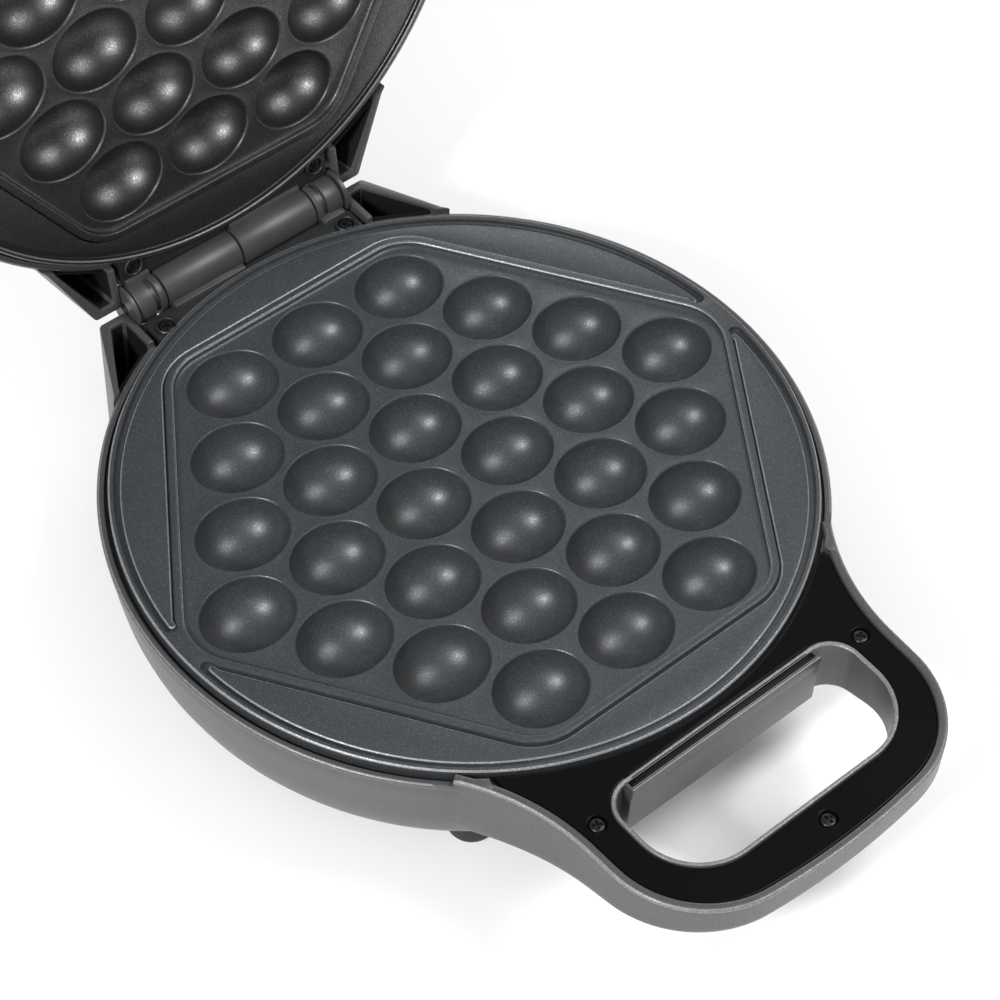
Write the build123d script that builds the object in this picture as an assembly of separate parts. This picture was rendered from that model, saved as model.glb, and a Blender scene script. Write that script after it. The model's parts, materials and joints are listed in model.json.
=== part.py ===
from build123d import *
import math
import os

# Bubble waffle maker with its lid open. Millimetres.
# +X is to the right seen from the handle, +Y points to the hinge, +Z is up.
# The origin lies on the table, under the middle of the open appliance.
# Each half is drawn face up, with its own origin at the middle of the cooking
# plate, in the plane where the two halves meet and in which the hinge axis lies.

# Hinge and closed fit
hinge_set_back = 8.8
open_angle = 99.3
closed_gap = 0.4

# Bubble cavities, in rows of 3, 4, 5, 6, 5, 4 and 3
bubble_pitch = 30.0
row_pitch = 22.16
longest_row = 6
rows_each_side = 3
bubble_length = 26.9
bubble_width = 23.3
bubble_depth = 11.4
bubble_wall = 2.9
bubble_sides = 8
cup_top_share = 1.12
cup_foot_share = 0.78

# Cooking plate, one casting used twice
plate_radius = 97.8
plate_rim_width = 1.5
plate_thickness = 3.0
land_depth = 2.0
land_front_margin = 2.17
land_side_margin = 3.35
hexagon_corner = 15.0
frame_width = 2.3
pad_depth = 1.0
pad_tip_half = 7.8

# Hinge knuckles on the casting
knuckle_radius = 6.3
knuckle_bore = 2.05
long_knuckle = 26.8
end_knuckle = 9.6
knuckle_gap = 0.4
hinge_pin_radius = 2.0
tab_half_width = 38.0
tab_thickness = 4.8
tab_clearance = 0.9
knuckle_root = 1.0
tab_screw_x = 32.5
tab_screw_inset = 5.0

# Housings
base_depth = 43.5
lid_depth = 41.0
shell = 2.6
hollow_sides = 36
lip_clearance = 1.1
lip_width = 2.1
lip_drop = 2.8
belly_tuck = 2.4
belly_drop = 22.0
heel_tuck = 8.0
heel_height = 6.5
bottom_tuck = 15.5
seat_width = 1.8

# Rear block that carries the hinge
wing_root_x = 59.4
wing_length = 23.7
wing_end_x = 47.6
wing_top = 0.6
wing_wall = 2.7
rear_setback = 0.4
knuckle_trough = 9.6
trough_clearance = 0.4
cheek_x = 38.6
cheek_wall = 2.2
pocket_depth = 36.0
wiring_half_width = 33.0

# Handles, with the depth below the parting plane at three places of the curved underside
handle_reach = 51.0
handle_nose_half = 26.5
handle_nose_bow = 1.6
handle_corner_radius = 31.0
handle_corner_turn = 81.0
handle_side_length = 8.8
handle_root_turn = 48.34
handle_thickness = 11.4
handle_middle_reach = 16.0
handle_middle_depth = 17.0
handle_heel_tuck = 21.0
handle_heel_depth = 28.5
handle_rim = 2.7
window_half_width = 40.9
window_set_out = 2.0
window_depth = 32.9
window_front_corner = 18.0
window_rear_corner = 8.0
window_lining = 2.3
grip_half_width = 33.5
grip_depth = 2.8
grip_edge = 1.0

# Handle trims
trim_thickness = 1.9
trim_clearance = 0.2
trim_screw_x = 46.6
trim_screw_set_out = 4.4
trim_nose_screw_out = 6.9
rib_count = 3
rib_pitch = 1.25
rib_width = 0.6
rib_height = 0.6

# Fasteners and feet, drawn with flats to keep the model light
small_sides = 8
round_sides = 16
screw_radius = 1.5
screw_length = 9.0
screw_clearance = 0.2
head_radius = 2.9
head_height = 1.0
head_clearance = 0.3
hinge_head_radius = 3.6
hinge_head_height = 1.6
hinge_eye_radius = 4.3
case_screw_x = 62.0
case_screw_y = 44.0
case_screw_radius = 1.9
case_head_radius = 3.4
case_head_height = 2.2
case_post_radius = 4.6
case_screw_grip = 6.0

# Heating, one set in each half
element_size = 6.4
element_bend = 9.0
element_gap_half = 11.0
terminal_length = 16.0
shield_margin = 9.0
shield_thickness = 0.8
shield_ear = 7.5
shield_hole = 24.0
sensor_radius = 9.0
sensor_height = 9.0
blade_size = (0.8, 6.0, 9.0)
blade_x = 6.3
fuse_radius = 2.2
fuse_length = 24.0
fuse_y = 34.0
clip_width = 7.0
clip_wall = 0.7
clip_clearance = 0.1
block_size = (30.0, 16.0, 12.0)
block_set_in = 30.0
block_screw_radius = 2.4

# Feet, cord gland, lamps and vents
foot_height = 8.5
foot_radius = 7.5
front_foot = (49.3, -63.6)
rear_foot_x = 33.0
rear_foot_set_in = 9.0
gland_radius = 6.0
gland_bore = 3.6
gland_flange = 8.0
gland_flange_height = 2.0
gland_clearance = 0.1
gland_drop = 27.0
gland_depth = 5.4
lamp_radius = 4.0
lamp_flange = 5.5
lamp_stand = 1.4
lamp_x = 9.0
lamp_y = -62.0
vent_count = 3
vent_length = 26.0
vent_width = 2.6
vent_pitch = 14.0
vent_x = 22.0

# Radii and places that follow
hinge_y = plate_radius + hinge_set_back
lip_inner_radius = plate_radius + lip_clearance
lip_radius = lip_inner_radius + lip_width
belly_radius = lip_radius - belly_tuck
heel_radius = lip_radius - heel_tuck
bottom_radius = lip_radius - bottom_tuck
seat_radius = plate_radius - seat_width
slant = math.atan2(bubble_pitch / 2, row_pitch)
hexagon_half_depth = rows_each_side * row_pitch + bubble_width / 2 + land_front_margin
hexagon_half_reach = (longest_row - 1) / 2 * bubble_pitch * math.cos(slant) + bubble_length / 2 + land_side_margin
handle_front = lip_radius + handle_reach
window_rear = lip_radius + window_set_out
window_front = window_rear + window_depth
grip_front = window_rear + grip_depth
trim_side_y = window_rear + trim_screw_set_out
trim_nose_y = window_front + trim_nose_screw_out
trim_screws = [(-trim_screw_x, trim_side_y), (trim_screw_x, trim_side_y), (0.0, trim_nose_y)]

# Heights that follow
top = -closed_gap / 2
above = 5.0
land = top - land_depth
plate_underside = land - plate_thickness
tab_foot = top - tab_thickness
cup_foot = land - bubble_depth - bubble_wall
element_foot = cup_foot - element_size
shield_foot = element_foot - shield_thickness
parting_height = base_depth + foot_height
tab_rear = hinge_y - knuckle_radius - tab_clearance
rear_face = hinge_y - rear_setback
wing_root_y = rear_face - wing_length
rear_foot = (rear_foot_x, bottom_radius - rear_foot_set_in)
trough_front = tab_rear - knuckle_root - trough_clearance
lip_top = -lip_drop
trim_top = lip_top + trim_thickness
lean = math.radians(open_angle)

# The open lid reaches furthest back at the flat of its shell
rear_reach = hinge_y - math.cos(lean) * (hinge_y + bottom_radius) + math.sin(lean) * lid_depth
plate_y = (handle_front - rear_reach) / 2


def prism(face, low, high):
    return extrude(Pos(0, 0, low) * face, high - low)


def rod(radius, low, high, x=0.0, y=0.0):
    return prism(Pos(x, y) * Circle(radius), low, high)


def peg(radius, low, high, x=0.0, y=0.0):
    return prism(Pos(x, y) * RegularPolygon(radius, small_sides), low, high)


def block(x_span, y_span, z_span):
    spans = (x_span, y_span, z_span)
    middle = [(high + low) / 2 for low, high in spans]
    return Pos(*middle) * Box(*[high - low for low, high in spans])


def along_x(radius, low, high, y, z):
    return Pos((low + high) / 2, y, z) * Rot(0, 90, 0) * Cylinder(radius, high - low)


def fuse_rod(radius, low, high):
    section = Pos(low, -fuse_y, shield_foot - radius) * Rot(0, 90, 0) * RegularPolygon(radius, small_sides)
    return extrude(section, high - low, dir=(1, 0, 0))


def at_gland(shape):
    return Pos(0, rear_face, -gland_drop) * Rot(-90, 0, 0) * shape


def in_base(shape):
    return Pos(0, plate_y, parting_height) * shape


def in_lid(shape):
    swing = Pos(0, hinge_y, 0) * Rot(-open_angle, 0, 0) * Pos(0, -hinge_y, 0)
    return in_base(swing * Rot(0, 180, 0) * shape)


def save(shape, name):
    shape.label = name
    export_step(shape, f"parts/{name}.step")


def bubble_centres():
    centres = []
    for row in range(-rows_each_side, rows_each_side + 1):
        count = longest_row - abs(row)
        for column in range(count):
            centres.append(((column - (count - 1) / 2) * bubble_pitch, row * row_pitch))
    return centres


def tab_screw_places():
    return [(side * tab_screw_x, tab_rear - tab_screw_inset) for side in (-1, 1)]


def case_screw_places():
    return [(side * case_screw_x, -case_screw_y) for side in (-1, 1)]


def foot_places():
    return [(side * x, y) for x, y in (front_foot, rear_foot) for side in (-1, 1)]


# A solid of flat faces through copies of one many-sided oval, each given as a share of it and a height
def flat_sided(half_length, half_width, sides, rings):
    def corners(share, z):
        turns = [2 * math.pi * (k + 0.5) / sides for k in range(sides)]
        return [(share * half_length * math.cos(t), share * half_width * math.sin(t), z) for t in turns]

    loops = [corners(*ring) for ring in rings]
    faces = [Face(Wire.make_polygon(loops[0])), Face(Wire.make_polygon(loops[-1]))]
    for upper, lower in zip(loops, loops[1:]):
        for k in range(sides):
            n = (k + 1) % sides
            faces.append(Face(Wire.make_polygon([upper[k], upper[n], lower[n], lower[k]])))
    return Solid(Shell(faces))


def bubble(centre, rings):
    return Pos(*centre) * flat_sided(bubble_length / 2, bubble_width / 2, bubble_sides, rings)


def bubble_cavity(centre):
    bands = [(1.0, 0.0), (0.84, 0.56), (0.38, 1.0)]
    rings = [(share, land - depth * bubble_depth) for share, depth in bands]
    return bubble(centre, [(1.0, top + above)] + rings)


def bubble_cup(centre):
    rings = [(cup_top_share, plate_underside + plate_thickness / 2), (cup_foot_share, cup_foot)]
    return bubble(centre, rings)


# The hexagon's slanted sides run along the slanted rows of bubbles
def hexagon(margin):
    depth = hexagon_half_depth + margin
    reach = hexagon_half_reach + margin
    side_x = reach / math.cos(slant)
    end_x = (reach - depth * math.sin(slant)) / math.cos(slant)
    points = [(side_x, 0), (end_x, depth), (-end_x, depth), (-side_x, 0), (-end_x, -depth), (end_x, -depth)]
    face = Polygon(*points, align=None)
    return fillet(face.vertices(), hexagon_corner + margin)


# Two bowed fields lie sunk between the hexagon and the round rim, split at the side corners
def pad_recess():
    field = Circle(plate_radius - plate_rim_width) - hexagon(frame_width)
    field -= Rectangle(3 * plate_radius, 2 * pad_tip_half)
    return prism(field, top - pad_depth, top + above)


def knuckle(low_x, high_x):
    arm = block((low_x, high_x), (tab_rear - knuckle_root, hinge_y), (-knuckle_radius, top))
    return along_x(knuckle_radius, low_x, high_x, hinge_y, 0) + arm


def cooking_plate():
    body = rod(plate_radius, plate_underside, top)
    body += block((-tab_half_width, tab_half_width), (hexagon_half_depth, tab_rear), (tab_foot, top))
    body += [bubble_cup(centre) for centre in bubble_centres()]
    for place in case_screw_places():
        body += peg(case_post_radius, element_foot, plate_underside, *place)
    body += knuckle(-long_knuckle, -knuckle_gap / 2)
    body += knuckle(long_knuckle + knuckle_gap, long_knuckle + knuckle_gap + end_knuckle)
    body -= prism(hexagon(0), land, top + above)
    body -= pad_recess()
    body -= [bubble_cavity(centre) for centre in bubble_centres()]
    body -= along_x(knuckle_bore, -2 * long_knuckle, 2 * long_knuckle, hinge_y, 0)
    for place in tab_screw_places():
        body -= peg(screw_radius + screw_clearance, tab_foot, top, *place)
        body -= peg(hinge_eye_radius, top - hinge_head_height, top, *place)
    for place in case_screw_places():
        body -= peg(case_screw_radius, element_foot, element_foot + case_screw_grip, *place)
    return body


def handle_outline():
    nose_x = handle_nose_half
    nose_y = handle_front - handle_nose_bow
    root_x = lip_radius * math.cos(math.radians(handle_root_turn))
    root_y = lip_radius * math.sin(math.radians(handle_root_turn))
    front = ThreePointArc((-nose_x, -nose_y), (0, -handle_front), (nose_x, -nose_y))
    corner = JernArc(front @ 1, front % 1, handle_corner_radius, handle_corner_turn)
    side = Line(corner @ 1, corner @ 1 + handle_side_length * (corner % 1))
    flank = TangentArc(side @ 1, (root_x, -root_y), tangent=side % 1)
    right = [corner, side, flank]
    left = [mirror(line, Plane.YZ).edge() for line in right]
    return make_face([front, *right, *left, Line((root_x, -root_y), (-root_x, -root_y))])


# The handle seen from the side: its underside slopes from the grip down into the bowl
def handle_side_view():
    front = (-handle_front - 1, -handle_thickness)
    middle = (-lip_radius - handle_middle_reach, -handle_middle_depth)
    heel = (handle_heel_tuck - lip_radius, -handle_heel_depth)
    upper = Polyline(heel, (heel[0], above), (front[0], above), front)
    face = make_face([ThreePointArc(front, middle, heel), upper])
    return extrude(Plane.YZ * face, lip_radius, both=True)


def handle_shell():
    return prism(handle_outline(), -handle_heel_depth, top) & handle_side_view()


def window_outline(margin):
    face = Rectangle(2 * (window_half_width + margin), window_depth + 2 * margin)
    face = fillet(face.vertices().sort_by(Axis.Y)[:2], window_front_corner + margin)
    face = fillet(face.vertices().sort_by(Axis.Y)[-2:], window_rear_corner + margin)
    return Pos(0, -(window_front + window_rear) / 2) * face


# The grip is the straight ledge along the window's rear edge, with a low edge at its front and ends
def grip_shelf(inset):
    rear = window_rear - window_lining - 2 * grip_edge + inset
    depth = grip_front - inset - rear
    return Pos(0, -rear - depth / 2) * Rectangle(2 * (grip_half_width - inset), depth)


# The recess takes the trim, and the window lets the fingers through
def handle_cuts():
    recess = offset(handle_outline(), -handle_rim) - window_outline(window_lining) - Circle(lip_inner_radius)
    recess = prism(recess, lip_top, above)
    shelf = prism(grip_shelf(grip_edge), lip_top, above)
    window = prism(window_outline(0) - grip_shelf(0), -3 * handle_thickness, above)
    return recess + shelf + window


def bowl_profile(depth):
    points = [
        (0, -depth),
        (bottom_radius, -depth),
        (heel_radius, -depth + heel_height),
        (belly_radius, -belly_drop),
        (lip_radius, lip_top),
        (0, lip_top),
    ]
    return Plane.XZ * Polygon(*points, align=None)


# The hidden inside is drawn with flats, and the round seat above them takes the plate
def bowl_hollow(depth):
    low_share = (bottom_radius - shell) / seat_radius
    rings = [(1.0, plate_underside), (1.0, -belly_drop), (low_share, -depth + shell)]
    space = flat_sided(seat_radius, seat_radius, hollow_sides, rings)
    return [space, rod(lip_inner_radius, plate_underside, above)]


def rear_block_outline(margin):
    root_x = wing_root_x - margin
    end_x = wing_end_x - margin
    front = wing_root_y / 2
    rear = rear_face - margin
    points = [
        (root_x, front),
        (root_x, wing_root_y),
        (end_x, rear),
        (-end_x, rear),
        (-root_x, wing_root_y),
        (-root_x, front),
    ]
    return Polygon(*points, align=None)


# Straight wings stand beside the hinge, with a deep pocket behind each of its cheeks
def rear_block(depth):
    outer_cheek = cheek_x + cheek_wall
    pockets = prism(rear_block_outline(wing_wall), -pocket_depth, 0)
    pockets -= block((-outer_cheek, outer_cheek), (0, hinge_y), (-depth, 0))
    return prism(rear_block_outline(0), -depth, -wing_top) - pockets


# The plate's tab lies on a shelf between the cheeks, and the knuckles turn in a trough behind it
def hinge_notch():
    shelf = block((-cheek_x, cheek_x), (wing_root_y, hinge_y), (tab_foot, above))
    return shelf + block((-cheek_x, cheek_x), (trough_front, hinge_y), (-knuckle_trough, above))


def wiring_space(depth):
    return block(
        (-wiring_half_width, wiring_half_width),
        (wing_root_y, rear_face - wing_wall),
        (-depth + shell, -knuckle_trough - shell),
    )


def housing(depth):
    body = revolve(bowl_profile(depth), Axis.Z) + rear_block(depth) + handle_shell()
    body -= [handle_cuts(), hinge_notch(), wiring_space(depth), *bowl_hollow(depth)]
    cuts = [peg(screw_radius, -screw_length, 0, x, -y) for x, y in trim_screws]
    cuts += [peg(screw_radius, -screw_length, 0, *place) for place in tab_screw_places()]
    for place in case_screw_places():
        body += peg(case_post_radius, -depth + shell / 2, shield_foot, *place)
        cuts.append(peg(case_screw_radius + screw_clearance, -depth, shield_foot, *place))
        cuts.append(peg(case_head_radius + head_clearance, -depth, -depth + case_head_height, *place))
    return body - cuts


def base_housing():
    body = housing(base_depth)
    body -= at_gland(peg(gland_radius, -gland_depth, above))
    for k in range(vent_count):
        y = (k - (vent_count - 1) / 2) * vent_pitch
        for side in (-1, 1):
            body -= Pos(side * vent_x, y, -base_depth) * Box(vent_length, vent_width, 3 * shell)
    return body


def lid_housing():
    body = housing(lid_depth)
    for side in (-1, 1):
        body -= peg(lamp_radius, -lid_depth, -lid_depth + shell, side * lamp_x, lamp_y)
    return body


def handle_trim():
    face = offset(handle_outline(), -handle_rim - trim_clearance) - Circle(lip_inner_radius)
    face -= window_outline(window_lining + trim_clearance)
    face += grip_shelf(grip_edge + trim_clearance) - Circle(lip_inner_radius)
    body = prism(face, lip_top, trim_top)
    rib_length = 2 * (grip_half_width - 2 * grip_edge)
    for k in range(rib_count):
        y = -grip_front + 2 * grip_edge + k * rib_pitch
        body += Pos(0, y, trim_top) * Box(rib_length, rib_width, 2 * rib_height)
    for x, y in trim_screws:
        body -= peg(screw_radius + screw_clearance, lip_top, trim_top, x, -y)
        body -= peg(head_radius + head_clearance, trim_top - head_height, trim_top, x, -y)
    return body


def screws(places, seat, radius, tip, head, height):
    return Compound([peg(radius, tip, seat, x, y) + peg(head, seat, seat + height, x, y) for x, y in places])


def trim_screw_set():
    places = [(x, -y) for x, y in trim_screws]
    seat = trim_top - head_height
    return screws(places, seat, screw_radius, -screw_length, head_radius, head_height)


def hinge_screw_set():
    seat = top - hinge_head_height
    height = hinge_head_height - head_clearance
    return screws(tab_screw_places(), seat, screw_radius, -screw_length, hinge_head_radius, height)


def case_screw_set(depth):
    seat = -depth + case_head_height
    height = head_clearance - case_head_height
    tip = element_foot + case_screw_grip
    return screws(case_screw_places(), seat, case_screw_radius, tip, case_head_radius, height)


# The tube is pressed to a triangle, flat side on the cups. It runs round in short straight bends
# and is open at the rear
def heating_element():
    y = 2 * row_pitch
    x = 1.5 * bubble_pitch
    side_x = 2.5 * bubble_pitch
    half = element_size / 2
    z = cup_foot - half
    corners = [Vector(element_gap_half, y, z), Vector(x, y, z), Vector(side_x, 0, z), Vector(x, -y, z)]
    corners += [Vector(-c.X, c.Y, z) for c in reversed(corners)]
    start = Vector(element_gap_half, y + terminal_length, z)
    stop = Vector(-element_gap_half, y + terminal_length, z)
    ends = [start, *corners, stop]
    path = [start]
    for before, corner, after in zip(ends, corners, ends[2:]):
        path.append(corner + (before - corner).normalized() * element_bend)
        path.append(corner + (after - corner).normalized() * element_bend)
    section = Polygon((-half, half), (half, half), (0, -half), align=None)
    plane = Plane(origin=start, x_dir=(1, 0, 0), z_dir=(0, -1, 0))
    return sweep(plane * section, path=Polyline(*path, stop), transition=Transition.RIGHT)


def heat_shield():
    side_x = 2.5 * bubble_pitch + shield_margin
    end_x = 1.5 * bubble_pitch + shield_margin
    y = 2 * row_pitch + shield_margin
    face = Polygon((side_x, 0), (end_x, y), (-end_x, y), (-side_x, 0), (-end_x, -y), (end_x, -y), align=None)
    for place in case_screw_places():
        face += Pos(*place) * RegularPolygon(shield_ear, small_sides)
        face -= Pos(*place) * RegularPolygon(case_screw_radius + screw_clearance, small_sides)
    face -= RegularPolygon(shield_hole, small_sides)
    return prism(face, shield_foot, element_foot)


def thermostat():
    foot = cup_foot - sensor_height
    body = peg(sensor_radius, foot, cup_foot)
    for side in (-1, 1):
        body += Pos(side * blade_x, 0, foot) * Box(*blade_size)
    return body


def thermal_fuse():
    half = fuse_length / 2
    return fuse_rod(fuse_radius, -half, half)


# A saddle of bent sheet that holds the fuse against the shield
def fuse_clip():
    bore = fuse_radius + clip_clearance
    outer = bore + clip_wall
    half = clip_width / 2
    strip = (-half, half)
    arch = block(strip, (-fuse_y - outer, -fuse_y + outer), (shield_foot - 2 * fuse_radius - clip_wall, shield_foot))
    ears = block(strip, (-fuse_y - 2 * outer, -fuse_y + 2 * outer), (shield_foot - clip_wall, shield_foot))
    tunnel = block(strip, (-fuse_y - bore, -fuse_y + bore), (shield_foot - 2 * fuse_radius, shield_foot))
    return arch + ears - tunnel


def terminal_block():
    width, length, height = block_size
    low = -base_depth + shell
    block_y = seat_radius - block_set_in
    body = block((-width / 2, width / 2), (block_y - length / 2, block_y + length / 2), (low, low + height))
    for k in (-1, 0, 1):
        body -= peg(block_screw_radius, low + height / 2, low + height, k * width / 3, block_y)
    return body


def cord_gland():
    body = peg(gland_flange, 0, gland_flange_height) + peg(gland_radius - gland_clearance, -gland_depth, 0)
    return at_gland(body - rod(gland_bore, -gland_depth, gland_flange_height))


def foot():
    return prism(RegularPolygon(foot_radius, round_sides), -foot_height, 0)


def lamp():
    lens = peg(lamp_radius - gland_clearance, -lid_depth - lamp_stand, -lid_depth + shell)
    return lens + peg(lamp_flange, -lid_depth + shell, -lid_depth + 2 * shell)


def hinge_pin():
    half = long_knuckle + 2 * knuckle_gap + end_knuckle
    return along_x(hinge_pin_radius, -half, half, hinge_y, 0)


def build_base(plate):
    save(in_base(base_housing()), "base_housing")
    save(in_base(plate), "base_plate")
    save(in_base(handle_trim()), "base_handle_trim")
    save(in_base(trim_screw_set()), "base_trim_screws")
    save(in_base(hinge_screw_set()), "base_hinge_screws")
    save(in_base(case_screw_set(base_depth)), "base_case_screws")
    save(in_base(heating_element()), "base_heating_element")
    save(in_base(heat_shield()), "base_heat_shield")
    save(in_base(thermostat()), "base_thermostat")
    save(in_base(thermal_fuse()), "thermal_fuse")
    save(in_base(fuse_clip()), "fuse_clip")
    save(in_base(terminal_block()), "terminal_block")
    save(in_base(cord_gland()), "cord_gland")
    save(in_base(hinge_pin()), "hinge_pin")
    names = ["front_left_foot", "front_right_foot", "rear_left_foot", "rear_right_foot"]
    for name, (x, y) in zip(names, foot_places()):
        save(in_base(Pos(x, y, -base_depth) * foot()), name)


def build_lid(plate):
    save(in_lid(lid_housing()), "lid_housing")
    save(in_lid(plate), "lid_plate")
    save(in_lid(handle_trim()), "lid_handle_trim")
    save(in_lid(trim_screw_set()), "lid_trim_screws")
    save(in_lid(hinge_screw_set()), "lid_hinge_screws")
    save(in_lid(case_screw_set(lid_depth)), "lid_case_screws")
    save(in_lid(heating_element()), "lid_heating_element")
    save(in_lid(heat_shield()), "lid_heat_shield")
    save(in_lid(thermostat()), "lid_thermostat")
    for name, side in (("power_lamp", 1), ("ready_lamp", -1)):
        save(in_lid(Pos(side * lamp_x, lamp_y, 0) * lamp()), name)


os.makedirs("parts", exist_ok=True)
casting = cooking_plate()
build_base(casting)
build_lid(casting)
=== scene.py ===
import bpy
import bmesh
import json
import math
import numpy as np
from mathutils import Matrix, Vector
from mathutils.geometry import delaunay_2d_cdt


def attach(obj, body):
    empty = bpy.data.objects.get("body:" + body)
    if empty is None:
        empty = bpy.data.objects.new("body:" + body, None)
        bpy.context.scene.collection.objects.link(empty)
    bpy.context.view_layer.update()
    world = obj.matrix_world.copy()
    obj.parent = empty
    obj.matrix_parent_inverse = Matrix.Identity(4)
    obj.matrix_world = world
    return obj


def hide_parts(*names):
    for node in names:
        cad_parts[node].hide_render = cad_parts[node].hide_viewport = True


# Bubble waffle maker, open. Each half is drawn in millimetres, face up, round the middle of
# its cooking plate, and is then put in its place in the frame, in metres.

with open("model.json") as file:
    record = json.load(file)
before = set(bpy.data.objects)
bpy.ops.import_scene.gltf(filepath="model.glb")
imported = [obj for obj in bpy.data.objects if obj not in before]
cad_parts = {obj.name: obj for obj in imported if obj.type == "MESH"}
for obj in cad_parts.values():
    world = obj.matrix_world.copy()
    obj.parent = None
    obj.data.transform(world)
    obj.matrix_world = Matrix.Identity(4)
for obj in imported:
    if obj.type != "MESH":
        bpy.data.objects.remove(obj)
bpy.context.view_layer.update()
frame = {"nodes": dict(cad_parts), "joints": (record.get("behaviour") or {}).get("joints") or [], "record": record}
print("frame loaded:", len(frame["nodes"]), "nodes")

halves = ("base", "lid")

hinge = {
    "reach": 106.6,       # from the middle of the plate to the hinge axis
    "open": frame["joints"][0]["range_deg"][1],
    "at": Vector(frame["joints"][0]["pos_m"]),
}

view = {
    "lens": 102.6,
    "sensor": 36.0,
    "place": (-328.8, -366.6, 608.56),   # from the middle of the lower plate
    "turn": (38.385, -2.218, -40.227),
}


# Placing

def halfPlace(half):
    home = Matrix.Translation(hinge["at"] - Vector((0, hinge["reach"] / 1000, 0)))
    scale = Matrix.Scale(0.001, 4)
    if half == "base":
        return home @ scale
    axis = Matrix.Translation((0, hinge["reach"], 0))
    swing = axis @ Matrix.Rotation(math.radians(-hinge["open"]), 4, "X") @ axis.inverted()
    return home @ scale @ swing @ Matrix.Rotation(math.pi, 4, "Y")


# Outlines: lists of points, counter-clockwise

def arc(cx, cy, radius, start, stop, steps):
    turns = np.radians(np.linspace(start, stop, steps + 1))
    return [(cx + radius * math.cos(t), cy + radius * math.sin(t)) for t in turns]


def circle(cx, cy, radius, count):
    return arc(cx, cy, radius, 0, 360 - 360 / count, count - 1)


def along(a, b, steps):
    return [(a[0] + (b[0] - a[0]) * k / steps, a[1] + (b[1] - a[1]) * k / steps) for k in range(steps)]


def roundedOutline(corners, radii, arcSteps=6):
    points = []
    n = len(corners)
    for i in range(n):
        p, c, q = (Vector(corners[(i + k) % n]) for k in (-1, 0, 1))
        u, v = (p - c).normalized(), (q - c).normalized()
        half = u.angle(v) / 2
        r = radii[i] if hasattr(radii, "__len__") else radii
        if r <= 0:
            points.append(tuple(c))
            continue
        back = r / math.tan(half)
        start, stop = c + u * back, c + v * back
        centre = c + (u + v).normalized() * (r / math.sin(half))
        a, b = start - centre, stop - centre
        turn = a.angle_signed(b)
        for k in range(arcSteps + 1):
            spot = centre + Matrix.Rotation(-turn * k / arcSteps, 2) @ a
            points.append((spot.x, spot.y))
    return points


def boxCorners(x, y, halfWidth, halfDepth):
    right, left, rear, front = x + halfWidth, x - halfWidth, y + halfDepth, y - halfDepth
    return [(right, front), (right, rear), (left, rear), (left, front)]


def mirrored(points, side):
    return points if side > 0 else [(-x, y) for x, y in reversed(points)]


def dense(points, step):
    out = []
    for a, b in zip(points, points[1:] + points[:1]):
        count = max(1, int(math.dist(a, b) / step))
        out += along(a, b, count)
    return out


def offsetOutline(points, distance):
    p = np.array(points)
    ahead = np.roll(p, -1, 0) - p
    ahead /= np.maximum(np.linalg.norm(ahead, axis=1, keepdims=True), 1e-9)
    behind = np.roll(ahead, 1, 0)
    normal = np.stack([ahead[:, 1] + behind[:, 1], -(ahead[:, 0] + behind[:, 0])], 1)
    normal /= np.maximum(np.linalg.norm(normal, axis=1, keepdims=True), 1e-9)
    lean = np.clip((normal * np.stack([ahead[:, 1], -ahead[:, 0]], 1)).sum(1), 0.4, 1)
    return [tuple(q) for q in p + normal * (distance / lean)[:, None]]


def insideOutline(spots, outline):
    inside = np.zeros(len(spots), bool)
    x, y = spots[:, 0], spots[:, 1]
    for (ax, ay), (bx, by) in zip(outline, outline[1:] + outline[:1]):
        if ay == by:
            continue
        crosses = (ay > y) != (by > y)
        inside ^= crosses & (x < (bx - ax) * (y - ay) / (by - ay) + ax)
    return inside


# A mesh in the making

weld = 0.004    # corners closer than this become one


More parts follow.
